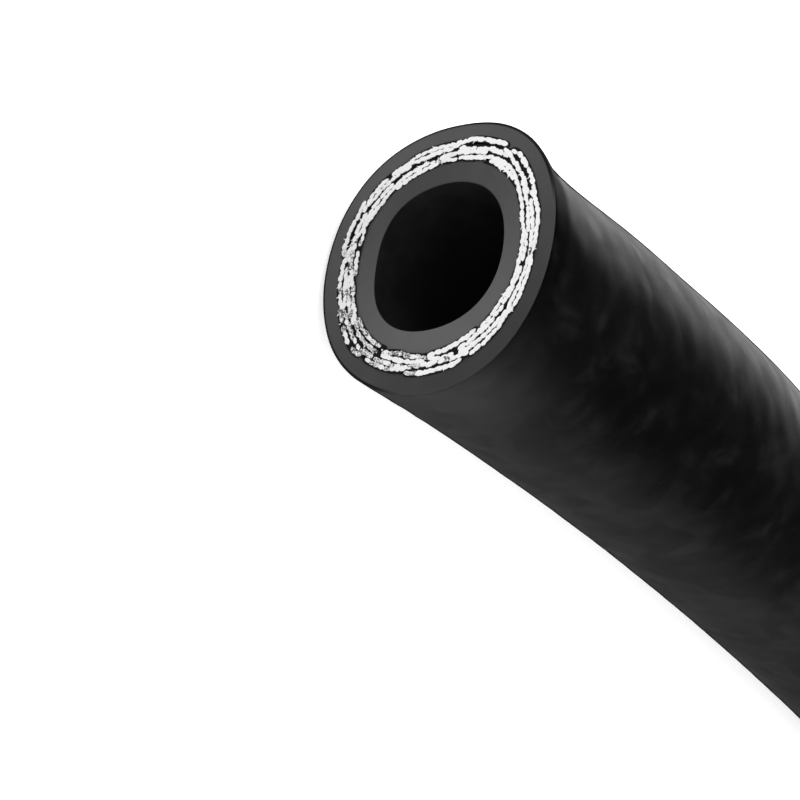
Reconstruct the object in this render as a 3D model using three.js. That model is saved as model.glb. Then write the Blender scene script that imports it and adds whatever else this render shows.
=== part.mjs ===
// A cut piece of two-wire-braid hydraulic hose, lying flat with the slight bow that its coil left in it.
// Millimetres, +Z up. The floor is Z = 0, and the origin lies under the middle of the piece's box.
// The bow is an arc in the XY plane, its middle towards +Y, and both ends are cut square to it.
import * as THREE from "three";

// Driving dimensions
const cutLength = 304.8;
const bowRadius = 600;
const boreDiameter = 12.7;
const innerTubeWall = 1.85;
const braidThickness = 0.6;
const interlayerThickness = 0.2;
const coverWall = 1.6;
const layerClearance = 0.05;

// Facets: sides around each layer, with one flat on the floor, and steps along the arc
const sidesAround = 24;
const stepsAlong = 12;

// Outer diameter of each layer, from the bore outwards
const innerTubeDiameter = boreDiameter + 2 * innerTubeWall;
const innerBraidBore = innerTubeDiameter + 2 * layerClearance;
const innerBraidDiameter = innerBraidBore + 2 * braidThickness;
const interlayerBore = innerBraidDiameter + 2 * layerClearance;
const interlayerDiameter = interlayerBore + 2 * interlayerThickness;
const outerBraidBore = interlayerDiameter + 2 * layerClearance;
const outerBraidDiameter = outerBraidBore + 2 * braidThickness;
const coverBore = outerBraidDiameter + 2 * layerClearance;
const coverDiameter = coverBore + 2 * coverWall;

// The centre line: an arc about a vertical axis, placed so that the piece's box is centred on the origin
const endAngle = cutLength / bowRadius / 2;
const farthestOut = bowRadius + coverDiameter / 2;
const nearestIn = (bowRadius - coverDiameter / 2) * Math.cos(endAngle);
const axisY = -(farthestOut + nearestIn) / 2;
const centreHeight = coverDiameter / 2;

class BowedLine extends THREE.Curve {
  // Angle from the middle of the bow, for a share t of the length from the -X end
  angle(t) {
    return endAngle * (2 * t - 1);
  }

  getPoint(t, target = new THREE.Vector3()) {
    const angle = this.angle(t);
    return target.set(bowRadius * Math.sin(angle), axisY + bowRadius * Math.cos(angle), centreHeight);
  }

  getTangent(t, target = new THREE.Vector3()) {
    const angle = this.angle(t);
    return target.set(Math.cos(angle), -Math.sin(angle), 0);
  }
}

const centreLine = new BowedLine();

// Corners of an even-sided outline whose opposite flats are one diameter apart, with a flat facing the floor
function outlineCorners(diameter) {
  const halfSide = Math.PI / sidesAround;
  const cornerRadius = diameter / 2 / Math.cos(halfSide);
  const corners = [];
  for (let side = 0; side < sidesAround; side += 1) {
    const angle = (2 * side + 1) * halfSide;
    corners.push(new THREE.Vector2(cornerRadius * Math.cos(angle), cornerRadius * Math.sin(angle)));
  }
  return corners;
}

// One layer of the hose: a ring section carried along the centre line, open at both ends
function layer(name, bore, diameter, finish) {
  const section = new THREE.Shape(outlineCorners(diameter));
  section.holes.push(new THREE.Path(outlineCorners(bore).reverse()));
  const geometry = new THREE.ExtrudeGeometry(section, { steps: stepsAlong, extrudePath: centreLine });
  const mesh = new THREE.Mesh(geometry, new THREE.MeshStandardMaterial(finish));
  mesh.name = name;
  return mesh;
}

const coverRubber = { color: 0x161616, roughness: 0.55, metalness: 0 };
const tubeRubber = { color: 0x3c3c3c, roughness: 0.8, metalness: 0 };
const bondingRubber = { color: 0x101010, roughness: 0.85, metalness: 0 };
const steelWire = { color: 0xd9d9d6, roughness: 0.35, metalness: 1 };

const hose = new THREE.Group();
hose.add(layer("inner_tube", boreDiameter, innerTubeDiameter, tubeRubber));
hose.add(layer("inner_wire_braid", innerBraidBore, innerBraidDiameter, steelWire));
hose.add(layer("rubber_interlayer", interlayerBore, interlayerDiameter, bondingRubber));
hose.add(layer("outer_wire_braid", outerBraidBore, outerBraidDiameter, steelWire));
hose.add(layer("cover", coverBore, coverDiameter, coverRubber));

export default hose;
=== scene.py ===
"""A cut piece of two-wire-braid hydraulic hose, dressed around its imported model.

Lengths are metres in the model's own frame. Each piece is shaped straight, with X along the hose from end A,
Y sideways towards the outside of the bow and Z up from the centre line, and is then laid along the bow.
"""
import logging
import math
import random
from dataclasses import dataclass, field
from enum import Enum
from functools import cache, cached_property
from typing import Iterable, Sequence

import bmesh
import bpy
from mathutils import Matrix, Vector, noise


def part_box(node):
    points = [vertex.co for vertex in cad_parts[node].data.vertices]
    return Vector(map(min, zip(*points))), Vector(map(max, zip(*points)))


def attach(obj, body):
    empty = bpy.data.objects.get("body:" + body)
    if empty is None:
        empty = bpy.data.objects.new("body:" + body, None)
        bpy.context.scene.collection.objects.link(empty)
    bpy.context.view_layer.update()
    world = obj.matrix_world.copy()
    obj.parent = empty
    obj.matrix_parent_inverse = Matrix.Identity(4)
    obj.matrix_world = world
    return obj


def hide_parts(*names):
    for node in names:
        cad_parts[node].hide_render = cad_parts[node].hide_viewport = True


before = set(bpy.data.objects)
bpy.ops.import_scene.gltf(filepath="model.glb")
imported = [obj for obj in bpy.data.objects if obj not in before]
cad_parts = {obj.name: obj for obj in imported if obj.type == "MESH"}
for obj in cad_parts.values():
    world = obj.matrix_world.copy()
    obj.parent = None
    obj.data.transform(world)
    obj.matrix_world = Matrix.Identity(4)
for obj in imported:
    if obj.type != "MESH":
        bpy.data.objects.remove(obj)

MM = 0.001
BODY = "root"
FULL_TURN = 2 * math.pi
UP = Vector((0, 0, 1))
CLOSE = 0.001 * MM
LOG = logging.getLogger("hose")


class End(Enum):
    """The two cut ends of the piece."""

    A = 0
    B = 1


class Hand(Enum):
    """Which way a ribbon of wires winds round the hose, going away from end A."""

    RIGHT = 1
    LEFT = -1


@cache
def node_span(node: str, axis: int) -> float:
    """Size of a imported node's box along one axis.

    Args:
        node: Name of the node.
        axis: 0, 1 or 2 for X, Y or Z.

    Returns:
        The size in metres.
    """
    low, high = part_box(node)
    return high[axis] - low[axis]


def smooth_step(share: float) -> float:
    """Eases a share from 0 to 1 with level ends, held at 0 and 1 outside."""
    held = min(1.0, max(0.0, share))
    return held * held * (3 - 2 * held)


def turn_between(first: float, second: float) -> float:
    """The turn from one angle to another the short way round, without its sign."""
    return abs((first - second + math.pi) % FULL_TURN - math.pi)


def angle_round(point: Vector) -> float:
    """The angle of a point round the X axis, from the top."""
    return math.atan2(point.y, point.z)


@dataclass(frozen=True)
class Wave:
    """One even wave round a squeezed section: lobes, height, turn from the top and reach behind the cut."""

    lobes: int
    height: float
    turn: float
    reach: float

    def at(self, angle: float, depth: float) -> float:
        """Rise of the section at an angle from the top, at a depth behind the cut face."""
        if depth > 2.6 * self.reach:
            return 0.0
        fade = math.exp(-((depth / self.reach) ** 2))
        return self.height * fade * math.cos(self.lobes * (angle - math.radians(self.turn)))


@dataclass(frozen=True)
class Swell:
    """One local swelling or dent of the skin near a cut end."""

    turn: float
    half_width: float
    height: float
    depth: float
    reach: float

    def at(self, angle: float, depth: float) -> float:
        """Rise of the skin at an angle from the top, at a depth behind the cut face."""
        away = (depth - self.depth) / self.reach
        if abs(away) > 2.6:
            return 0.0
        gap = turn_between(angle, math.radians(self.turn)) / math.radians(self.half_width)
        return self.height * math.exp(-(away**2) - gap**2)


@dataclass(frozen=True)
class Bow:
    """The centre line, a level arc with its middle towards +Y, and the squeeze left at each cut end."""

    length: float = 304.8 * MM
    radius: float = 600 * MM
    far_end_turn: float = 2.3
    tube_wall: float = 1.85 * MM
    bore_waves: tuple[Wave, ...] = (
        Wave(1, 0.30 * MM, -11, 8 * MM),
        Wave(2, 0.17 * MM, 85, 28 * MM),
        Wave(3, 0.06 * MM, 7, 8 * MM),
        Wave(4, 0.14 * MM, -36, 6 * MM),
    )
    skin_waves: tuple[Wave, ...] = (
        Wave(1, 0.21 * MM, -30, 7 * MM),
        Wave(2, 0.22 * MM, 92, 28 * MM),
        Wave(2, 0.17 * MM, 96, 5 * MM),
        Wave(3, 0.11 * MM, 48, 5 * MM),
        Wave(4, 0.10 * MM, 42, 4 * MM),
    )
    skin_swells: tuple[Swell, ...] = (
        Swell(65, 50, -0.45 * MM, 6.5 * MM, 9 * MM),
        Swell(62, 28, 0.60 * MM, 0, 1.6 * MM),
        Swell(65, 50, 0.35 * MM, 40 * MM, 12 * MM),
        Swell(232, 20, 0.14 * MM, 0, 5 * MM),
    )

    @cached_property
    def height(self) -> float:
        """Height of the centre line over the floor."""
        return node_span("cover", 2) / 2

    @cached_property
    def axis_y(self) -> float:
        """Place of the bow's upright axis on Y, from the box of the cover."""
        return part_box("cover")[1].y - self.radius - self.height

    @cached_property
    def bore_radius(self) -> float:
        """Radius of the bore, from the boxes of the tube and the cover."""
        return node_span("inner_tube", 2) / 2 - self.tube_wall

    def section(self, point: Vector) -> Vector:
        """Squeezes a point of the straight hose, most at the ends."""
        near = point.x < self.length / 2
        depth = max(0.0, point.x if near else self.length - point.x)
        angle = math.atan2(point.y, point.z) + (0.0 if near else self.far_end_turn)
        radius = math.hypot(point.y, point.z)
        if radius < MM:
            return point.copy()
        share = (radius - self.bore_radius) / (self.height - self.bore_radius)
        rise = sum(wave.at(angle, depth) for wave in self.bore_waves) * (1 - share)
        rise += sum(form.at(angle, depth) for form in self.skin_waves + self.skin_swells) * share
        grown = 1 + rise / radius
        return Vector((point.x, point.y * grown, point.z * grown))

    def lay(self, point: Vector) -> Vector:
        """Takes a point of the straight hose to where it lies.

        Args:
            point: Along from end A, sideways, and up from the centre line.

        Returns:
            The point in the model's frame.
        """
        squeezed = self.section(point)
        angle = (squeezed.x - self.length / 2) / self.radius
        out = self.radius + squeezed.y
        up = max(0.0, self.height + squeezed.z)
        return Vector((out * math.sin(angle), self.axis_y + out * math.cos(angle), up))

    def route(self, count: int) -> list[Vector]:
        """Evenly spaced points of the centre line, from end A to end B."""
        return [self.lay(Vector((self.length * step / (count - 1), 0, 0))) for step in range(count)]


@dataclass(frozen=True)
class BraidPlan:
    """Sizes of one braid: as many ribbons wind each way, and each ribbon is a row of wires."""

    node: str
    wires: int
    start: float
    stagger: float
    ribbons: int = 12
    wire: float = 0.395 * MM
    wire_pitch: float = 0.32 * MM
    level: float = 0.245 * MM
    sway: float = 0.05 * MM
    wall: float = 0.6 * MM
    angle: float = math.radians(54.7)
    float_length: int = 4

    @cached_property
    def radius(self) -> float:
        """Mean radius of the braid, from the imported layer."""
        return node_span(self.node, 2) / 2 - self.wall / 2

    @property
    def pitch(self) -> float:
        """Angle from one ribbon to the next of the same hand."""
        return FULL_TURN / self.ribbons

    def first(self, hand: Hand) -> float:
        """Angle of the first ribbon of one hand at the cut face."""
        return self.start if hand is Hand.RIGHT else self.start + self.stagger * self.pitch

    def lattice(self, along: float, angle: float) -> tuple[float, float]:
        """Counts of right-hand and left-hand ribbons up to a point of the braid's surface."""
        twist = along * math.tan(self.angle) / self.radius
        right = (angle - self.first(Hand.RIGHT) - twist) / self.pitch
        left = (angle - self.first(Hand.LEFT) + twist) / self.pitch
        return right, left

    def lift(self, count: float) -> float:
        """How far over (1) or under (-1) a right-hand ribbon lies, where both hands' counts sum to count."""
        return max(-1.0, min(1.0, 2.8 * self.wave(count)))

    def wave(self, count: float) -> float:
        """The even wave on which lift is based."""
        return math.cos(FULL_TURN / self.float_length * (count - 0.5))

    def drift(self, angle: float) -> float:
        """How far the whole braid wanders out of its circle at an angle."""
        spot = Vector((2.3 * math.cos(angle), 2.3 * math.sin(angle), 50 * self.start + self.wires))
        return self.sway * 2 * noise.noise(spot)


@dataclass(frozen=True)
class Damage:
    """A stretch of the cut where the blade dragged: dull, smeared and partly torn wires."""

    angle: float
    half_width: float
    strength: float

    def at(self, angle: float) -> float:
        """Strength of the damage at an angle from the top, from 0 to 1."""
        return self.strength * smooth_step(1.5 - turn_between(angle, self.angle) / self.half_width)


class Graph:
    """Adds nodes and links to one node tree."""

    def __init__(self, tree: bpy.types.NodeTree) -> None:
        """Keeps the tree."""
        self.tree = tree

    def add(self, kind: str, **settings: object) -> bpy.types.Node:
        """Adds a node.

        Args:
            kind: Blender's name for the node's type.
            **settings: Values for its properties, or for inputs of that name with spaces as underscores.

        Returns:
            The new node.
        """
        node = self.tree.nodes.new(kind)
        for name, value in settings.items():
            if hasattr(node, name):
                setattr(node, name, value)
            else:
                node.inputs[name.replace("_", " ")].default_value = value
        return node

    def link(self, source: bpy.types.NodeSocket, target: bpy.types.NodeSocket) -> None:
        """Joins an output to an input."""
        self.tree.links.new(source, target)

    def feed(self, value: object, target: bpy.types.NodeSocket) -> None:
        """Joins a socket to an input, or sets a number or colour there."""
        if isinstance(value, bpy.types.NodeSocket):
            self.link(value, target)
        else:
            target.default_value = value

    def place(self) -> bpy.types.NodeSocket:
        """Adds the model's own coordinates, and returns them."""
        return self.add("ShaderNodeTexCoord").outputs["Object"]

    def attribute(self, name: str) -> bpy.types.NodeSocket:
        """Adds a value that the mesh holds at its vertices, and returns it."""
        node = self.add("ShaderNodeAttribute", attribute_type="GEOMETRY", attribute_name=name)
        return node.outputs["Fac"]

    def math(self, operation: str, *values: object) -> bpy.types.NodeSocket:
        """Adds a Math node fed by numbers or sockets, and returns its output."""
        node = self.add("ShaderNodeMath", operation=operation)
        for index, value in enumerate(values):
            self.feed(value, node.inputs[index])
        return node.outputs[0]

    def ramp(
        self, source: bpy.types.NodeSocket, low: float, high: float, bottom: float = 0.0, top: float = 1.0,
    ) -> bpy.types.NodeSocket:
        """Maps low to bottom and high to top, with smooth ends, and returns the result."""
        node = self.add("ShaderNodeMapRange", interpolation_type="SMOOTHSTEP", clamp=True)
        for name, value in (("From Min", low), ("From Max", high), ("To Min", bottom), ("To Max", top)):
            node.inputs[name].default_value = value
        self.link(source, node.inputs["Value"])
        return node.outputs["Result"]

    def blend(self, share: bpy.types.NodeSocket, first: object, second: object) -> bpy.types.NodeSocket:
        """Mixes two colours, each a value or a socket, by a share, and returns the colour."""
        node = self.add("ShaderNodeMix", data_type="RGBA")
        self.link(share, node.inputs["Factor"])
        self.feed(first, node.inputs["A"])
        self.feed(second, node.inputs["B"])
        return node.outputs["Result"]


def grey(value: float) -> tuple[float, float, float, float]:
    """A neutral colour, in linear light."""
    return (value, value, value, 1.0)


class Effects:
    """Node groups that several finishes share."""

    @staticmethod
    def new_group(
        name: str, inputs: dict[str, float], outputs: Iterable[str],
    ) -> tuple[bpy.types.NodeTree, Graph]:
        """Makes an empty group with a coordinate input.

        Args:
            name: Name of the group.
            inputs: Number inputs and their defaults.
            outputs: Names of number outputs.

        Returns:
            The group and a graph on it.
        """
        tree = bpy.data.node_groups.new(name, "ShaderNodeTree")
        tree.interface.new_socket("Place", in_out="INPUT", socket_type="NodeSocketVector")
        for label, value in inputs.items():
            socket = tree.interface.new_socket(label, in_out="INPUT", socket_type="NodeSocketFloat")
            socket.default_value = value
        for label in outputs:
            tree.interface.new_socket(label, in_out="OUTPUT", socket_type="NodeSocketFloat")
        return tree, Graph(tree)

    def __init__(self) -> None:
        """Builds the groups once."""
        self.grain = self.build_grain()
        self.blade = self.build_blade()

    def build_grain(self) -> bpy.types.NodeTree:
        """Rubber's fine grain and its broad cloudy stains."""
        tree, graph = self.new_group("rubber_grain", {"Fine": 2500.0, "Broad": 90.0}, ("Grain", "Cloud"))
        entry, leave = graph.add("NodeGroupInput"), graph.add("NodeGroupOutput")
        fine = graph.add("ShaderNodeTexNoise", noise_dimensions="3D", Detail=3.0, Roughness=0.6)
        broad = graph.add(
            "ShaderNodeTexNoise", noise_dimensions="3D", Detail=5.0, Roughness=0.62, Distortion=0.4
        )
        for node, scale, out in ((fine, "Fine", "Grain"), (broad, "Broad", "Cloud")):
            graph.link(entry.outputs["Place"], node.inputs["Vector"])
            graph.link(entry.outputs[scale], node.inputs["Scale"])
            graph.link(node.outputs["Fac"], leave.inputs[out])
        return tree

    def build_blade(self) -> bpy.types.NodeTree:
        """Fine parallel marks that a blade leaves across a cut end."""
        tree, graph = self.new_group("blade_marks", {"Count": 1800.0}, ("Marks",))
        entry, leave = graph.add("NodeGroupInput"), graph.add("NodeGroupOutput")
        stretch = graph.add("ShaderNodeMapping", vector_type="POINT")
        stretch.inputs["Rotation"].default_value = (math.radians(32), 0, 0)
        stretch.inputs["Scale"].default_value = (1, 0.04, 1)
        marks = graph.add("ShaderNodeTexNoise", noise_dimensions="3D", Detail=2.0, Roughness=0.7)
        graph.link(entry.outputs["Place"], stretch.inputs["Vector"])
        graph.link(stretch.outputs["Vector"], marks.inputs["Vector"])
        graph.link(entry.outputs["Count"], marks.inputs["Scale"])
        graph.link(marks.outputs["Fac"], leave.inputs["Marks"])
        return tree


@dataclass(frozen=True)
class Finish:
    """Base of every finish: a name, and a Principled shader on which a kind of finish builds."""

    name: str

    def start(self) -> tuple[bpy.types.Material, Graph, bpy.types.Node]:
        """Makes the material with its shader.

        Returns:
            The material, a graph on its nodes, and the Principled node.
        """
        material = bpy.data.materials.new(self.name)
        material.use_nodes = True
        graph = Graph(material.node_tree)
        shader = next(node for node in material.node_tree.nodes if node.type == "BSDF_PRINCIPLED")
        return material, graph, shader

    def bump(self, graph: Graph, height: bpy.types.NodeSocket, depth: float, shader: bpy.types.Node) -> None:
        """Feeds a height into the shader's normal, over the relief that it already has.

        Args:
            graph: Graph of the material.
            height: The height's socket, from 0 to 1.
            depth: Real depth of the relief.
            shader: The Principled node.
        """
        node = graph.add("ShaderNodeBump", Strength=1.0, Distance=depth)
        graph.link(height, node.inputs["Height"])
        normal = shader.inputs["Normal"]
        if normal.is_linked:
            graph.link(normal.links[0].from_socket, node.inputs["Normal"])
        graph.link(node.outputs["Normal"], normal)

    def grain(self, graph: Graph, effects: Effects, fine: float, broad: float) -> bpy.types.Node:
        """Adds the shared grain.

        Args:
            graph: Graph of the material.
            effects: The shared groups.
            fine: Scale of the fine grain.
            broad: Scale of the cloudy stains.

        Returns:
            The group's node.
        """
        node = graph.add("ShaderNodeGroup", node_tree=effects.grain, Fine=fine, Broad=broad)
        graph.link(graph.place(), node.inputs["Place"])
        return node


@dataclass(frozen=True)
class SkinRubber(Finish):
    """The outside of the cover: satin black, cloudy, with lumps and a faint print of its wrapping."""

    colour: float = 0.0013
    stain: float = 0.0080
    stain_range: tuple[float, float] = (0.50, 0.78)
    # Paler grey of the specks, and of the skin on its lower side beside the cut.
    pale_patch: float = 0.016
    speck_range: tuple[float, float] = (0.70, 0.76)
    speck_share: float = 0.5
    fine_grain: float = 1900.0
    broad_grain: float = 230.0
    grain_share: float = 1.5
    sheen_rough: tuple[float, float] = (0.27, 0.37)
    specular: float = 0.15
    outline_facing: tuple[float, float] = (0.885, 0.935)
    rubbed: float = 0.1
    lump_size: float = 2.8 * MM
    lump_depth: float = 0.11 * MM
    lump_gloss: tuple[float, float] = (0.72, 1.12)
    lump_bend: float = 1.6 * MM
    pressed_side: tuple[float, float] = (0.05, 0.6)
    pressed_share: tuple[float, float] = (0.4, 1.15)
    cloth_pitch: float = 0.42 * MM
    cloth_depth: float = 0.002 * MM

    def build(self, effects: Effects) -> bpy.types.Material:
        """Builds the material."""
        material, graph, shader = self.start()
        grain = self.grain(graph, effects, self.fine_grain, self.broad_grain)
        cloud, fine = grain.outputs["Cloud"], grain.outputs["Grain"]
        stained = graph.blend(graph.ramp(cloud, *self.stain_range), grey(self.colour), grey(self.stain))
        speck = graph.ramp(fine, *self.speck_range, 0.0, self.speck_share)
        # Pale specks, and the skin made paler on its lower side beside the cut.
        pale_share = graph.math("MAXIMUM", graph.attribute("pale_patch"), speck)
        graph.link(graph.blend(pale_share, stained, grey(self.pale_patch)), shader.inputs["Base Color"])
        graph.link(graph.ramp(cloud, 0.3, 0.7, *self.sheen_rough), shader.inputs["Roughness"])
        lump_height, lump_value = self.lumps(graph)
        graph.link(self.gloss(graph, lump_value), shader.inputs["Specular IOR Level"])
        pressed = graph.ramp(graph.attribute("painted_light_side"), *self.pressed_side, *self.pressed_share)
        self.bump(graph, graph.math("MULTIPLY", lump_height, pressed), self.lump_depth, shader)
        print_height = graph.math("ADD", self.cloth(graph), graph.math("MULTIPLY", fine, self.grain_share))
        self.bump(graph, print_height, self.cloth_depth, shader)
        return material

    def gloss(self, graph: Graph, lump_value: bpy.types.NodeSocket) -> bpy.types.NodeSocket:
        """The sheen, which each lump varies; it is gone at the outline and where the skin is rubbed."""
        facing = graph.add("ShaderNodeLayerWeight", Blend=0.5).outputs["Facing"]
        specular = graph.ramp(facing, *self.outline_facing, self.specular, 0.0)
        kept = graph.ramp(graph.attribute("rubbed"), 0.0, 1.0, 1.0, self.rubbed)
        kept = graph.math("MULTIPLY", kept, graph.ramp(lump_value, 0.25, 0.75, *self.lump_gloss))
        return graph.math("MULTIPLY", specular, kept)

    def lumps(self, graph: Graph) -> tuple[bpy.types.NodeSocket, bpy.types.NodeSocket]:
        """Soft lumps that the wrapping pressed into the skin.

        Args:
            graph: Graph of the material.

        Returns:
            Their height, and a value from 0 to 1 that each lump keeps.
        """
        place = graph.place()
        bend = graph.add("ShaderNodeTexNoise", noise_dimensions="3D", Scale=0.6 / self.lump_size, Detail=1.0)
        graph.link(place, bend.inputs["Vector"])
        shift = graph.add("ShaderNodeVectorMath", operation="MULTIPLY_ADD")
        graph.link(bend.outputs["Color"], shift.inputs[0])
        shift.inputs[1].default_value = (self.lump_bend, self.lump_bend, self.lump_bend)
        graph.link(place, shift.inputs[2])
        scale = 1 / self.lump_size
        cells = graph.add("ShaderNodeTexVoronoi", feature="SMOOTH_F1", Scale=scale, Smoothness=0.7)
        graph.link(shift.outputs[0], cells.inputs["Vector"])
        parts = graph.add("ShaderNodeSeparateXYZ")
        graph.link(cells.outputs["Color"], parts.inputs[0])
        return graph.math("SUBTRACT", 1.0, cells.outputs["Distance"]), parts.outputs["X"]

    def cloth(self, graph: Graph) -> bpy.types.NodeSocket:
        """The print of the cloth, on the cover's own UV map, whose units are metres."""
        sheet = graph.add("ShaderNodeUVMap", uv_map="unrolled")
        parts = graph.add("ShaderNodeSeparateXYZ")
        graph.link(sheet.outputs["UV"], parts.inputs[0])
        waves = []
        for axis in ("X", "Y"):
            turned = graph.math("MULTIPLY", parts.outputs[axis], FULL_TURN / self.cloth_pitch)
            waves.append(graph.math("SINE", turned))
        return graph.math("MULTIPLY", graph.math("MULTIPLY", *waves), 0.5)


@dataclass(frozen=True)
class CutRubber(Finish):
    """A cut rubber face: matt grey, painted paler on one side and darker on the other as painted light and
    shade, with fine blade marks, and a dark film along its rim.
    """

    painted_lit_side: float = 0.055
    painted_shaded_side: float = 0.045
    film: float = 0.002
    fine_grain: float = 3200.0
    broad_grain: float = 260.0
    rough: float = 0.62
    specular: float = 0.2
    mark_depth: float = 0.008 * MM

    def build(self, effects: Effects) -> bpy.types.Material:
        """Builds the material."""
        material, graph, shader = self.start()
        grain = self.grain(graph, effects, self.fine_grain, self.broad_grain)
        blade = graph.add("ShaderNodeGroup", node_tree=effects.blade)
        graph.link(graph.place(), blade.inputs["Place"])
        cloud = graph.math("MULTIPLY", graph.math("SUBTRACT", grain.outputs["Cloud"], 0.5), 0.5)
        # Painted light and shade: the cut face's grey runs from darker to paler round the section, with a
        # random cloud of tone on top.
        side = graph.math("ADD", graph.attribute("painted_light_side"), cloud)
        sawn_with_painted_light = graph.blend(side, grey(self.painted_shaded_side), grey(self.painted_lit_side))
        share = graph.ramp(graph.attribute("film"), 0.5, 0.95)
        graph.link(graph.blend(share, sawn_with_painted_light, grey(self.film)), shader.inputs["Base Color"])
        shader.inputs["Roughness"].default_value = self.rough
        shader.inputs["Specular IOR Level"].default_value = self.specular
        grains = graph.math("MULTIPLY", grain.outputs["Grain"], 0.6)
        height = graph.math("ADD", blade.outputs["Marks"], grains)
        self.bump(graph, height, self.mark_depth, shader)
        return material


@dataclass(frozen=True)
class DarkRubber(Finish):
    """Rubber that lies deep: the bore's wall and what bonds the wires; in the bonding rubber the near-black
    is partly its own colour and partly painted shade of the gaps round the wires.
    """

    colour: float = 0.010
    cloud_gain: float = 1.7
    fine_grain: float = 2500.0
    broad_grain: float = 400.0
    rough: float = 0.6
    specular: float = 0.3
    depth: float = 0.02 * MM

    def build(self, effects: Effects) -> bpy.types.Material:
        """Builds the material."""
        material, graph, shader = self.start()
        grain = self.grain(graph, effects, self.fine_grain, self.broad_grain)
        cloud = graph.ramp(grain.outputs["Cloud"], 0.35, 0.7)
        clouded = graph.blend(cloud, grey(self.colour), grey(self.colour * self.cloud_gain))
        graph.link(clouded, shader.inputs["Base Color"])
        shader.inputs["Roughness"].default_value = self.rough
        shader.inputs["Specular IOR Level"].default_value = self.specular
        self.bump(graph, grain.outputs["Grain"], self.depth, shader)
        return material


@dataclass(frozen=True)
class BareSteel(Finish):
    """Steel of the wires: bright where cut, and dull where the blade smeared rubber over it."""

    bright: float = 0.93
    dull: float = 0.09
    rough: float = 0.45
    metal: float = 0.5
    fine_grain: float = 6000.0
    broad_grain: float = 1500.0
    depth: float = 0.01 * MM

    def build(self, effects: Effects) -> bpy.types.Material:
        """Builds the material."""
        material, graph, shader = self.start()
        grain = self.grain(graph, effects, self.fine_grain, self.broad_grain)
        broken = graph.ramp(grain.outputs["Grain"], 0.42, 0.58, 0.30, 1.25)
        cloud = graph.math("MULTIPLY", graph.math("SUBTRACT", grain.outputs["Cloud"], 0.5), 0.35)
        share = graph.math("ADD", graph.math("MULTIPLY", graph.attribute("smear"), broken), cloud)
        share = graph.ramp(share, 0.05, 1.0)
        graph.link(graph.blend(share, grey(self.bright), grey(self.dull)), shader.inputs["Base Color"])
        shader.inputs["Metallic"].default_value = self.metal
        shader.inputs["Roughness"].default_value = self.rough
        self.bump(graph, grain.outputs["Grain"], self.depth, shader)
        return material


@dataclass(frozen=True)
class PlainFloor(Finish):
    """The plain pale floor, lit from below like a light table, and held back in reflections, where it
    carries painted shade: darker in front than behind, and a painted shadow beside the hose.
    """

    colour: float = 0.86
    # In reflections only: painted shade, darker in front of the hose and paler behind it.
    front_in_gloss: float = 0.30
    back_in_gloss: float = 0.62
    back_stretch: tuple[float, float] = (-0.03, 0.07)
    # In reflections only: a painted shadow on the floor beside the hose.
    painted_shadow_beside_hose: float = 0.62
    painted_shadow_stretch: tuple[float, float] = (0.012, 0.034)
    glow: float = 0.55
    rough: float = 0.9

    def build(self, effects: Effects) -> bpy.types.Material:
        """Builds the material."""
        material, graph, shader = self.start()
        path = graph.add("ShaderNodeLightPath")
        parts = graph.add("ShaderNodeSeparateXYZ")
        graph.link(graph.place(), parts.inputs[0])
        sideways = parts.outputs["Y"]
        # Painted shade for glossy rays: darker in front, paler behind, and a painted shadow beside the hose.
        held = graph.ramp(sideways, *self.back_stretch, self.front_in_gloss, self.back_in_gloss)
        near = graph.ramp(graph.math("ABSOLUTE", sideways), *self.painted_shadow_stretch, self.painted_shadow_beside_hose, 1.0)
        held = graph.math("MULTIPLY", held, near)
        share = path.outputs["Is Glossy Ray"]
        plain = graph.math("MULTIPLY", graph.math("SUBTRACT", 1.0, share), self.colour)
        level = graph.math("ADD", plain, graph.math("MULTIPLY", share, held))
        graph.link(level, shader.inputs["Base Color"])
        glow = graph.math("MULTIPLY", path.outputs["Is Camera Ray"], self.glow)
        shader.inputs["Emission Color"].default_value = grey(1.0)
        graph.link(glow, shader.inputs["Emission Strength"])
        shader.inputs["Roughness"].default_value = self.rough
        shader.inputs["Specular IOR Level"].default_value = 0.0
        return material


class Finishes:
    """All finishes of the scene, built once."""

    def __init__(self) -> None:
        """Builds each material."""
        effects = Effects()
        self.skin = SkinRubber("cover_skin").build(effects)
        # Each cut face is painted darker on one side and paler on the other: painted light and shade.
        self.cut = CutRubber("cut_cover_rubber", painted_shaded_side=0.026, painted_lit_side=0.061).build(effects)
        self.cut_tube = CutRubber("cut_tube_rubber", painted_shaded_side=0.038, painted_lit_side=0.073).build(effects)
        self.bore = DarkRubber("bore_wall", colour=0.0065).build(effects)
        # Near-black bonding rubber: partly its own colour, partly painted shade of the gaps round the wires.
        self.bond_with_painted_gap_shade = DarkRubber("bonding_rubber", colour=0.0015).build(effects)
        self.steel = BareSteel("bare_wire").build(effects)
        self.floor = PlainFloor("pale_floor").build(effects)


def finished_piece(
    name: str, bm: bmesh.types.BMesh, materials: Sequence[bpy.types.Material]
) -> bpy.types.Object:
    """Turns a bmesh into an object of the scene.

    Args:
        name: Name of the piece.
        bm: Its mesh, freed here.
        materials: Its materials, in the order of the faces' indices.

    Returns:
        The object, at the origin.
    """
    mesh = bpy.data.meshes.new(name)
    bm.to_mesh(mesh)
    bm.free()
    for material in materials:
        mesh.materials.append(material)
    piece = bpy.data.objects.new(name, mesh)
    bpy.context.scene.collection.objects.link(piece)
    triangles = sum(len(face.vertices) - 2 for face in mesh.polygons)
    LOG.info("%s: %d triangles", name, triangles)
    return piece


def carry(piece: bpy.types.Object, node: str) -> bpy.types.Object:
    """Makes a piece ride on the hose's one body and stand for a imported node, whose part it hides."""
    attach(piece, BODY)
    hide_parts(node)
    return piece


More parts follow.
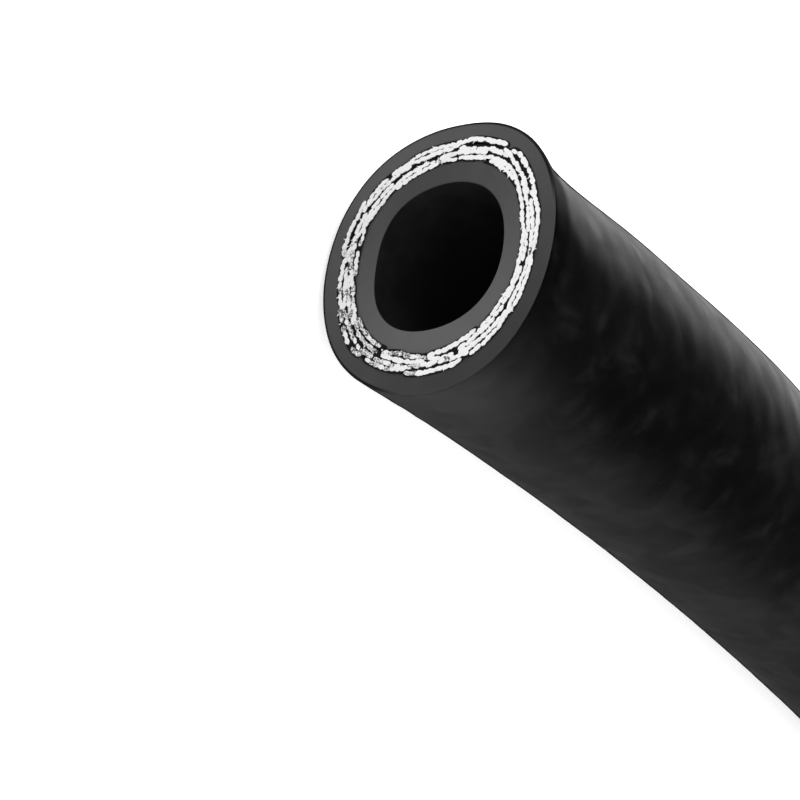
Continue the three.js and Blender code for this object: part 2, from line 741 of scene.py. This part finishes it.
@dataclass
class TurnedLayer:
    """A tube of rubber turned from its section, square at both ends, before it is laid along the bow."""

    inner: float
    outer: float
    length: float
    around: int
    along: int
    rim_radius: float
    bore_radius: float
    rim_segments: int = 4

    def build(self) -> bmesh.types.BMesh:
        """Turns the straight tube and rounds its rims.

        Returns:
            A closed mesh whose end faces are marked by material index 1.
        """
        bm = bmesh.new()
        corners = [(0, self.inner), (0, self.outer), (self.length, self.outer), (self.length, self.inner)]
        verts = [bm.verts.new((x, 0, z)) for x, z in corners]
        edges = [bm.edges.new((verts[step], verts[(step + 1) % 4])) for step in range(4)]
        bmesh.ops.subdivide_edges(bm, edges=[edges[1]], cuts=self.along - 1)
        bmesh.ops.subdivide_edges(bm, edges=[edges[3]], cuts=self.along // 4)
        bmesh.ops.subdivide_edges(bm, edges=[edges[0], edges[2]], cuts=3)
        bmesh.ops.spin(
            bm, geom=bm.verts[:] + bm.edges[:], cent=(0, 0, 0), axis=(1, 0, 0), dvec=(0, 0, 0),
            angle=FULL_TURN, space=Matrix.Identity(4), steps=self.around, use_merge=True,
            use_normal_flip=False, use_duplicate=False,
        )
        bmesh.ops.remove_doubles(bm, verts=bm.verts[:], dist=CLOSE)
        for radius, size in ((self.outer, self.rim_radius), (self.inner, self.bore_radius)):
            self.round_rims(bm, radius, size)
        bmesh.ops.recalc_face_normals(bm, faces=bm.faces[:])
        for face in bm.faces:
            face.smooth = True
            face.material_index = int(abs(face.normal.x) > 0.3)
        return bm

    def round_rims(self, bm: bmesh.types.BMesh, radius: float, size: float) -> None:
        """Rounds the two rims at one radius of the tube."""
        if size <= 0:
            return
        ends = (0.0, self.length)
        rims = [
            edge for edge in bm.edges
            if all(
                min(abs(vert.co.x - end) for end in ends) < CLOSE
                and abs(math.hypot(vert.co.y, vert.co.z) - radius) < CLOSE
                for vert in edge.verts
            )
        ]
        bmesh.ops.bevel(
            bm, geom=rims, offset=size, offset_type="OFFSET", segments=self.rim_segments, profile=0.5,
            affect="EDGES", material=-1, clamp_overlap=True,
        )


def mark_painted_light_side(bm: bmesh.types.BMesh, painted_light_angle: float) -> None:
    """Writes how far each vertex lies towards the side of the section that the cut faces are painted paler,
    as painted light and shade, from 0 to 1.
    """
    painted_light_side = bm.verts.layers.float.new("painted_light_side")
    for vert in bm.verts:
        angle = math.atan2(vert.co.y, vert.co.z)
        vert[painted_light_side] = 0.5 + 0.5 * math.cos(angle - painted_light_angle)


def lay_on_bow(bm: bmesh.types.BMesh, bow: Bow) -> None:
    """Takes every vertex of a straight piece to its place on the bow."""
    for vert in bm.verts:
        vert.co = bow.lay(vert.co)


@dataclass
class Cover:
    """The outer rubber: its skin swells over the ribbons of the braid below it."""

    bow: Bow
    braid: BraidPlan
    rise: float = 0.014 * MM
    warp: float = 0.5 * MM
    warp_size: float = 5.0 * MM
    patch_size: float = 4.1 * MM
    patch_low: float = 0.2
    patch_high: float = 2.1
    ripple: float = 0.04 * MM
    ripple_size: float = 9 * MM
    wall: float = 1.6 * MM
    rim_radius: float = 0.16 * MM
    film_width: float = 0.21 * MM
    worn_angle: float = math.radians(-35)
    worn_half_width: float = math.radians(50)
    # Side towards which the cover's cut face is painted paler (painted light, with painted shade opposite);
    # the skin's lumps also grow stronger towards it.
    painted_light_angle: float = math.radians(130)
    # Where the skin is made paler: on its lower side, beside the cut.
    pale_patch_angle: float = math.radians(-70)
    pale_patch_half_width: float = math.radians(27)
    pale_patch_reach: float = 8 * MM
    rubbed_angle: float = math.radians(65)
    rubbed_reach: float = 1.5 * MM
    around: int = 144
    along: int = 540

    @property
    def outer(self) -> float:
        """Radius of the skin."""
        return node_span("cover", 2) / 2

    def relief(self, along: float, angle: float) -> float:
        """Height of the skin over its mean radius.

        Args:
            along: Distance from end A.
            angle: Angle round the hose.

        Returns:
            The height in metres.
        """
        round_place = Vector((along, self.outer * math.cos(angle), self.outer * math.sin(angle)))
        bend = noise.noise_vector(round_place / self.warp_size)
        right, left = self.braid.lattice(along + self.warp * bend.x, angle + self.warp * bend.y / self.outer)
        patch = smooth_step(0.5 + 0.9 * noise.noise(round_place / self.patch_size))
        strength = self.patch_low + (self.patch_high - self.patch_low) * patch
        over = 0.5 + 0.5 * self.braid.wave(round(right) + left)
        under = 0.5 - 0.5 * self.braid.wave(round(left) + right)
        swell = over**2 * math.cos(math.pi * (right - round(right))) ** 2
        swell += under**2 * math.cos(math.pi * (left - round(left))) ** 2
        ripple = self.ripple * noise.noise(round_place / self.ripple_size)
        return self.rise * strength * (swell - 0.5) + ripple

    def build(self, finishes: Finishes) -> bpy.types.Object:
        """Builds, lays and dresses the cover."""
        outer = self.outer
        layer = TurnedLayer(
            outer - self.wall, outer, self.bow.length, self.around, self.along, rim_radius=self.rim_radius,
            bore_radius=0.0,
        )
        bm = layer.build()
        self.unroll(bm)
        self.mark_skin(bm)
        mark_painted_light_side(bm, self.painted_light_angle)
        skin_depth = 0.4 * MM
        for vert in bm.verts:
            radius = math.hypot(vert.co.y, vert.co.z)
            share = smooth_step((radius - outer + skin_depth) / skin_depth)
            if share > 0:
                lift = self.relief(vert.co.x, math.atan2(vert.co.z, vert.co.y)) * share
                vert.co.y *= 1 + lift / radius
                vert.co.z *= 1 + lift / radius
        lay_on_bow(bm, self.bow)
        return carry(finished_piece("hose_cover", bm, [finishes.skin, finishes.cut]), "cover")

    def mark_skin(self, bm: bmesh.types.BMesh) -> None:
        """Marks the dark film on the rim, worn off on one side, the skin made paler on its lower side beside
        the cut, and the rubbing beside the cut.
        """
        for name in ("film", "pale_patch", "rubbed"):
            bm.verts.layers.float.new(name)
        film, pale_patch, rubbed = (bm.verts.layers.float[name] for name in ("film", "pale_patch", "rubbed"))
        for vert in bm.verts:
            radius = math.hypot(vert.co.y, vert.co.z)
            angle = math.atan2(vert.co.y, vert.co.z)
            depth = max(0.0, min(vert.co.x, self.bow.length - vert.co.x))
            kept = smooth_step(turn_between(angle, self.worn_angle) / self.worn_half_width - 0.6)
            vert[film] = kept if radius > self.outer - self.film_width else 0.0
            gap = turn_between(angle, self.pale_patch_angle) / self.pale_patch_half_width
            vert[pale_patch] = math.exp(-((depth / self.pale_patch_reach) ** 2) - gap**2)
            upper = smooth_step(0.3 + math.cos(angle - self.rubbed_angle))
            vert[rubbed] = upper * smooth_step(2.2 - depth / self.rubbed_reach)

    def unroll(self, bm: bmesh.types.BMesh) -> None:
        """Gives each face its place on the unrolled skin, in metres, as the UV map unrolled."""
        sheet = bm.loops.layers.uv.new("unrolled")
        for face in bm.faces:
            middle = face.calc_center_median()
            middle_angle = math.atan2(middle.z, middle.y)
            for loop in face.loops:
                angle = math.atan2(loop.vert.co.z, loop.vert.co.y) - middle_angle
                angle = (angle + math.pi) % FULL_TURN - math.pi + middle_angle
                loop[sheet].uv = (loop.vert.co.x, angle * self.outer)


@dataclass
class InnerTube:
    """The rubber tube inside the braids."""

    bow: Bow
    # Side towards which the tube's cut face is painted paler (painted light, with painted shade opposite).
    painted_light_angle: float = math.radians(-75)
    bore_rim_radius: float = 0.14 * MM

    def build(self, finishes: Finishes) -> bpy.types.Object:
        """Builds, lays and dresses the tube."""
        layer = TurnedLayer(
            self.bow.bore_radius, node_span("inner_tube", 2) / 2, self.bow.length, around=128, along=160,
            rim_radius=0.0, bore_radius=self.bore_rim_radius,
        )
        bm = layer.build()
        mark_painted_light_side(bm, self.painted_light_angle)
        lay_on_bow(bm, self.bow)
        return carry(finished_piece("hose_inner_tube", bm, [finishes.bore, finishes.cut_tube]), "inner_tube")


@dataclass
class Ribbon:
    """One ribbon of a braid near a cut end, as a flat row of wires that winds with its hand.

    Flat places are (along the wires, across them, out of the braid).
    """

    plan: BraidPlan
    hand: Hand
    index: int
    depth: float
    shift: float
    lean: float
    overrun: float = 0.3 * MM
    burr_share: float = 0.5
    drag_angle: float = math.radians(-140)
    sleeve_proud: float = 0.012 * MM
    ragged: float = 0.045 * MM
    torn_back: float = 0.2 * MM

    @property
    def width(self) -> float:
        """Width of the row of wires."""
        return self.plan.wires * self.plan.wire_pitch

    def wind(self, flat: Vector) -> Vector:
        """Winds a flat place onto the braid, in the straight hose's frame."""
        plan, turn = self.plan, self.hand.value
        along = flat.x * math.cos(plan.angle) - turn * flat.y * math.sin(plan.angle)
        around = turn * flat.x * math.sin(plan.angle) + flat.y * math.cos(plan.angle)
        angle = plan.first(self.hand) + self.index * plan.pitch + around / plan.radius
        right, left = plan.lattice(along, angle)
        lift = plan.lift(self.index + left) if self.hand is Hand.RIGHT else -plan.lift(self.index + right)
        radius = plan.radius + lift * plan.level + self.shift + self.lean * flat.y / self.width
        radius += plan.drift(angle) + flat.z
        return Vector((along, radius * math.cos(angle), radius * math.sin(angle)))

    def start_of(self, across: float, margin: float) -> float:
        """Where a line at one place across begins, a margin before the cut face."""
        return (self.hand.value * across * math.sin(self.plan.angle) - margin) / math.cos(self.plan.angle)

    def comb(self, draw: random.Random, proud: float, damage: Sequence[Damage]) -> bmesh.types.BMesh:
        """Makes the ribbon's wires, cut a little proud of the face.

        Args:
            draw: Source of the small irregularities.
            proud: How far the cut wires stand out of the face.
            damage: Where the blade dragged.

        Returns:
            The wound wires, with their smear in a vertex layer.
        """
        bm = bmesh.new()
        bm.verts.layers.float.new("smear")
        plan = self.plan
        run = (self.depth + self.overrun) / math.cos(plan.angle)
        for number in range(plan.wires):
            across = (number - (plan.wires - 1) / 2) * plan.wire_pitch
            jitter = Vector((0, draw.uniform(-0.05, 0.05) * MM, draw.uniform(-0.055, 0.055) * MM))
            start = Vector((self.start_of(across, self.overrun), across, 0)) + jitter
            ring = bmesh.ops.create_circle(
                bm, cap_ends=False, segments=10, radius=plan.wire * draw.uniform(0.42, 0.57),
                matrix=Matrix.Translation(start) @ Matrix.Rotation(math.pi / 2, 4, "Y"),
            )["verts"]
            edges = [vert.link_edges[0] for vert in ring] + [vert.link_edges[1] for vert in ring]
            edges = list(dict.fromkeys(edges))
            steps = 7
            bmesh.ops.spin(
                bm, geom=ring + edges, cent=(0, 0, 0), axis=(1, 0, 0), dvec=(run / steps, 0, 0), angle=0.0,
                space=Matrix.Identity(4), steps=steps, use_merge=False, use_normal_flip=False,
                use_duplicate=False,
            )
        self.finish_cut(bm, proud)
        self.mark_ends(bm, draw, damage)
        self.raise_burrs(bm, draw, proud)
        return bm

    @staticmethod
    def cut_ends(bm: bmesh.types.BMesh) -> list[bmesh.types.BMFace]:
        """The cut wires' end faces, in an order that is the same each run."""
        ends = [face for face in bm.faces if face.normal.x < -0.9]
        return sorted(ends, key=lambda face: angle_round(face.calc_center_median()))

    def raise_burrs(self, bm: bmesh.types.BMesh, draw: random.Random, proud: float) -> None:
        """Draws short slivers out of some cut wires, flat on the face, the way the blade went."""
        smear = bm.verts.layers.float["smear"]
        for centre in [face.calc_center_median() for face in self.cut_ends(bm)]:
            if draw.random() > self.burr_share:
                continue
            way = draw.gauss(self.drag_angle, 1.2)
            size = draw.uniform(0.10, 0.30) * MM
            reach = Vector((0, math.sin(way), math.cos(way)))
            turn = UP.rotation_difference(reach).to_matrix().to_4x4()
            place = centre + reach * (self.plan.wire * 0.35 + size / 2)
            place.x = -proud * draw.uniform(0.3, 0.8)
            made = bmesh.ops.create_cone(
                bm, cap_ends=True, cap_tris=False, segments=6, radius1=0.075 * MM, radius2=0.02 * MM,
                depth=size, matrix=Matrix.Translation(place) @ turn,
            )["verts"]
            tone = draw.uniform(0.0, 0.25)
            for vert in made:
                vert[smear] = tone

    def mark_ends(self, bm: bmesh.types.BMesh, draw: random.Random, damage: Sequence[Damage]) -> None:
        """Gives each cut wire its own length and smear."""
        smear = bm.verts.layers.float["smear"]
        ragged = self.ragged
        for face in self.cut_ends(bm):
            centre = face.calc_center_median()
            harm = max((one.at(math.atan2(centre.y, centre.z)) for one in damage), default=0.0)
            tone = draw.uniform(0.0, 0.1)
            if draw.random() < 0.02 + 0.75 * harm:
                tone = draw.uniform(0.35, 1.0)
            push = draw.uniform(-0.015, 0.015) * MM
            if draw.random() < 0.01 + 0.04 * harm:
                push = self.torn_back
            for vert in sorted(face.verts, key=lambda vert: angle_round(vert.co - centre)):
                vert[smear] = tone
                vert.co += Vector((push, draw.uniform(-ragged, ragged), draw.uniform(-ragged, ragged)))

    def sleeve(self, margin: float) -> bmesh.types.BMesh:
        """Makes the dark rubber that closes round the ribbon, cut just proud of the face; its near-black rim
        round the wires is partly painted shade of the gap there.
        """
        bm = bmesh.new()
        plan = self.plan
        half = self.width / 2 + margin
        thick = plan.wire / 2 + margin
        run = (self.depth + self.overrun) / math.cos(plan.angle)
        corners = [(-half, -thick), (half, -thick), (half, thick), (-half, thick)]
        verts = [bm.verts.new((0, y, z)) for y, z in corners]
        edges = [bm.edges.new((verts[step], verts[(step + 1) % 4])) for step in range(4)]
        bmesh.ops.bevel(
            bm, geom=verts, offset=thick * 0.8, offset_type="OFFSET", segments=3, profile=0.5,
            affect="VERTICES", material=-1, clamp_overlap=True,
        )
        long_edges = [edge for edge in bm.edges if edge.calc_length() > half]
        bmesh.ops.subdivide_edges(bm, edges=long_edges, cuts=9)
        steps = 8
        bmesh.ops.spin(
            bm, geom=bm.verts[:] + bm.edges[:], cent=(0, 0, 0), axis=(1, 0, 0),
            dvec=(run / steps, 0, 0), angle=0.0, space=Matrix.Identity(4), steps=steps,
            use_merge=False, use_normal_flip=False, use_duplicate=False,
        )
        for vert in bm.verts:
            vert.co.x += self.start_of(vert.co.y, self.overrun)
        self.finish_cut(bm, self.sleeve_proud)
        return bm

    def finish_cut(self, bm: bmesh.types.BMesh, proud: float) -> None:
        """Winds the flat mesh, cuts it a little proud of the end's plane and closes it."""
        for vert in bm.verts:
            vert.co = self.wind(vert.co)
        bmesh.ops.bisect_plane(
            bm, geom=bm.verts[:] + bm.edges[:] + bm.faces[:], dist=1e-8, plane_co=(-proud, 0, 0),
            plane_no=(-1, 0, 0), clear_outer=True, clear_inner=False,
        )
        rims = [edge for edge in bm.edges if edge.is_boundary]
        bmesh.ops.holes_fill(bm, edges=rims, sides=0)
        bmesh.ops.recalc_face_normals(bm, faces=bm.faces[:])
        for face in bm.faces:
            face.smooth = abs(face.normal.x) < 0.9


def append_mesh(target: bmesh.types.BMesh, part: bmesh.types.BMesh) -> None:
    """Adds a part to a mesh and frees the part."""
    store = bpy.data.meshes.new("store")
    part.to_mesh(store)
    part.free()
    target.from_mesh(store)
    bpy.data.meshes.remove(store)


def set_at_end(bm: bmesh.types.BMesh, end: End, length: float, turn: float) -> None:
    """Turns what was made at end A about the hose's axis, and takes it to the end it belongs to."""
    bmesh.ops.rotate(bm, verts=bm.verts[:], cent=(0, 0, 0), matrix=Matrix.Rotation(turn, 3, "X"))
    if end is End.B:
        half_turn = Matrix.Rotation(math.pi, 3, "Z")
        bmesh.ops.rotate(bm, verts=bm.verts[:], cent=(length / 2, 0, 0), matrix=half_turn)


@dataclass
class WireBraid:
    """One braid: every wire near the cut ends, and a plain core where the cover hides it."""

    bow: Bow
    plan: BraidPlan
    seed: int
    strays: dict[tuple[Hand, int], tuple[float, float]] = field(default_factory=dict)
    damage: tuple[Damage, ...] = ()
    depth: float = 2.2 * MM
    far_end_turn: float = 1.3
    error: float = 0.13 * MM

    def ribbons(self, end: End) -> list[Ribbon]:
        """The ribbons of both hands at one end, with their small errors of place."""
        draw = random.Random(self.seed * 10 + end.value)
        made = []
        for hand in Hand:
            for index in range(self.plan.ribbons):
                usual = draw.uniform(-self.error, self.error), draw.uniform(-self.error, self.error)
                first, last = self.strays.get((hand, index), usual)
                shift, lean = (first + last) / 2, last - first
                made.append(Ribbon(self.plan, hand, index, self.depth, shift=shift, lean=lean))
        return made

    def build(self, finishes: Finishes) -> bpy.types.Object:
        """Builds, lays and dresses the braid."""
        bm = bmesh.new()
        bm.verts.layers.float.new("smear")
        for end in End:
            draw = random.Random(self.seed * 10 + 5 + end.value)
            part = bmesh.new()
            part.verts.layers.float.new("smear")
            for ribbon in self.ribbons(end):
                append_mesh(part, ribbon.comb(draw, draw.uniform(0.03, 0.09) * MM, self.damage))
            set_at_end(part, end, self.bow.length, turn=end.value * self.far_end_turn)
            append_mesh(bm, part)
        append_mesh(bm, self.core())
        lay_on_bow(bm, self.bow)
        node = self.plan.node
        return carry(finished_piece(f"hose_{node}", bm, [finishes.steel]), node)

    def core(self) -> bmesh.types.BMesh:
        """The plain layer between the wires of the two ends."""
        plan = self.plan
        start = self.depth * 0.8
        layer = TurnedLayer(
            plan.radius - plan.wall / 2, plan.radius + plan.wall / 2, self.bow.length - 2 * start,
            around=48, along=40, rim_radius=0.0, bore_radius=0.0,
        )
        bm = layer.build()
        for face in bm.faces:
            face.material_index = 0
        bmesh.ops.translate(bm, verts=bm.verts[:], vec=(start, 0, 0))
        return bm


@dataclass
class BondingRubber:
    """The black rubber between and around the braids, set back a little at the cut ends; its black round
    each ribbon is partly painted shade of the gap round the wires.
    """

    bow: Bow
    braids: Sequence[WireBraid]
    recess: float = 0.16 * MM
    margin: float = 0.11 * MM
    inner_overlap: float = 0.02 * MM
    outer_overlap: float = 0.07 * MM

    def build(self, finishes: Finishes) -> bpy.types.Object:
        """Builds, lays and dresses the rubber."""
        inner = node_span("inner_tube", 2) / 2 - self.inner_overlap
        outer = node_span("outer_wire_braid", 2) / 2 + self.outer_overlap
        layer = TurnedLayer(
            inner, outer, self.bow.length - 2 * self.recess, around=96, along=60, rim_radius=0.0,
            bore_radius=0.0,
        )
        bm = layer.build()
        bmesh.ops.translate(bm, verts=bm.verts[:], vec=(self.recess, 0, 0))
        for face in bm.faces:
            face.material_index = 0
        for end in End:
            for braid in self.braids:
                part = bmesh.new()
                for ribbon in braid.ribbons(end):
                    append_mesh(part, ribbon.sleeve(self.margin))
                set_at_end(part, end, self.bow.length, turn=end.value * braid.far_end_turn)
                append_mesh(bm, part)
        lay_on_bow(bm, self.bow)
        return carry(finished_piece("hose_bonding_rubber", bm, [finishes.bond_with_painted_gap_shade]), "rubber_interlayer")


@dataclass(frozen=True)
class Viewpoint:
    """The camera, by the direction in which it lies from the near end, its distance and its roll."""

    azimuth: float = math.radians(215.45)
    elevation: float = math.radians(36.86)
    roll: float = math.radians(90)
    distance: float = 192.6 * MM
    end_right: float = 2.73 * MM
    end_above: float = 11.47 * MM
    lens: float = 109.6
    sensor: float = 36.0

    def build(self, target: Vector) -> bpy.types.Object:
        """Makes the camera.

        Args:
            target: The middle of the near cut end.

        Returns:
            The camera's object.
        """
        back = Vector((
            math.cos(self.elevation) * math.cos(self.azimuth),
            math.cos(self.elevation) * math.sin(self.azimuth),
            math.sin(self.elevation),
        ))
        level = UP.cross(back).normalized()
        upright = Matrix((level, back.cross(level), back)).transposed()
        turned = upright @ Matrix.Rotation(self.roll, 3, "Z")
        offset = Vector((-self.end_right, -self.end_above, self.distance))
        data = bpy.data.cameras.new("camera")
        data.lens = self.lens
        data.sensor_width = self.sensor
        data.clip_start = 10 * MM
        camera = bpy.data.objects.new("camera", data)
        camera.matrix_world = Matrix.Translation(target + turned @ offset) @ turned.to_4x4()
        bpy.context.scene.collection.objects.link(camera)
        bpy.context.scene.camera = camera
        return camera


@dataclass
class Studio:
    """The floor, the dome of light and the colour settings."""

    floor_size: float = 4.0
    dome: float = 1.7
    low_in_gloss: float = 1.35
    high_in_gloss: float = 0.025
    glow_height: float = 0.46
    glow_angle: float = math.radians(65)
    dim_side: float = 0.3

    def build(self, finishes: Finishes) -> None:
        """Builds the floor and the light."""
        bm = bmesh.new()
        bmesh.ops.create_grid(bm, x_segments=8, y_segments=8, size=self.floor_size / 2)
        finished_piece("floor", bm, [finishes.floor])
        self.light_dome()
        bpy.context.scene.view_settings.view_transform = "Standard"
        bpy.context.scene.view_settings.look = "None"

    def light_dome(self) -> None:
        """Lights the scene evenly; in reflections the dome only glows low down, as a lit wall does."""
        world = bpy.data.worlds.new("dome")
        bpy.context.scene.world = world
        world.use_nodes = True
        graph = Graph(world.node_tree)
        background = next(node for node in world.node_tree.nodes if node.type == "BACKGROUND")
        path = graph.add("ShaderNodeLightPath")
        way = graph.add("ShaderNodeTexCoord")
        parts = graph.add("ShaderNodeSeparateXYZ")
        graph.link(way.outputs["Object"], parts.inputs[0])
        wall = graph.ramp(parts.outputs["Z"], 0.0, self.glow_height, self.low_in_gloss, self.high_in_gloss)
        facing = graph.add("ShaderNodeVectorMath", operation="DOT_PRODUCT")
        graph.link(way.outputs["Object"], facing.inputs[0])
        facing.inputs[1].default_value = (math.cos(self.glow_angle), math.sin(self.glow_angle), 0)
        side = graph.ramp(facing.outputs["Value"], 0.0, 0.9, self.dim_side, 1.0)
        wall = graph.math("MULTIPLY", wall, side)
        glossy = path.outputs["Is Glossy Ray"]
        plain = graph.math("MULTIPLY", graph.math("SUBTRACT", 1.0, glossy), self.dome)
        strength = graph.math("ADD", plain, graph.math("MULTIPLY", glossy, wall))
        graph.link(strength, background.inputs["Strength"])
        background.inputs["Color"].default_value = (1, 1, 1, 1)


def main() -> None:
    """Builds the camera, the hose and the studio."""
    logging.basicConfig(level=logging.INFO, format="%(name)s: %(message)s")
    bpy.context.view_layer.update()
    bow = Bow()
    Viewpoint().build(bow.lay(Vector((0, 0, 0))))
    finishes = Finishes()
    inner = BraidPlan("inner_wire_braid", wires=8, start=0.35, stagger=0.45)
    start = math.radians(12.5)
    outer = BraidPlan("outer_wire_braid", wires=9, start=start, stagger=0.12, wire_pitch=0.315 * MM)
    dragged = (
        Damage(math.radians(-118), math.radians(34), 0.9),
        Damage(math.radians(172), math.radians(14), 0.5),
    )
    loose = {
        (Hand.RIGHT, 0): (0.22 * MM, 0.22 * MM),
        (Hand.LEFT, 1): (0.24 * MM, -0.04 * MM),
        (Hand.LEFT, 9): (0.16 * MM, 0.14 * MM),
    }
    braids = [
        WireBraid(bow, inner, seed=3, damage=dragged),
        WireBraid(bow, outer, seed=7, strays=loose, damage=dragged),
    ]
    cover = Cover(bow, outer).build(finishes)
    layers = [InnerTube(bow).build(finishes)]
    layers += [braid.build(finishes) for braid in braids]
    layers.append(BondingRubber(bow, braids).build(finishes))
    route = bow.route(25)
    Studio().build(finishes)


if __name__ == "__main__":
    main()
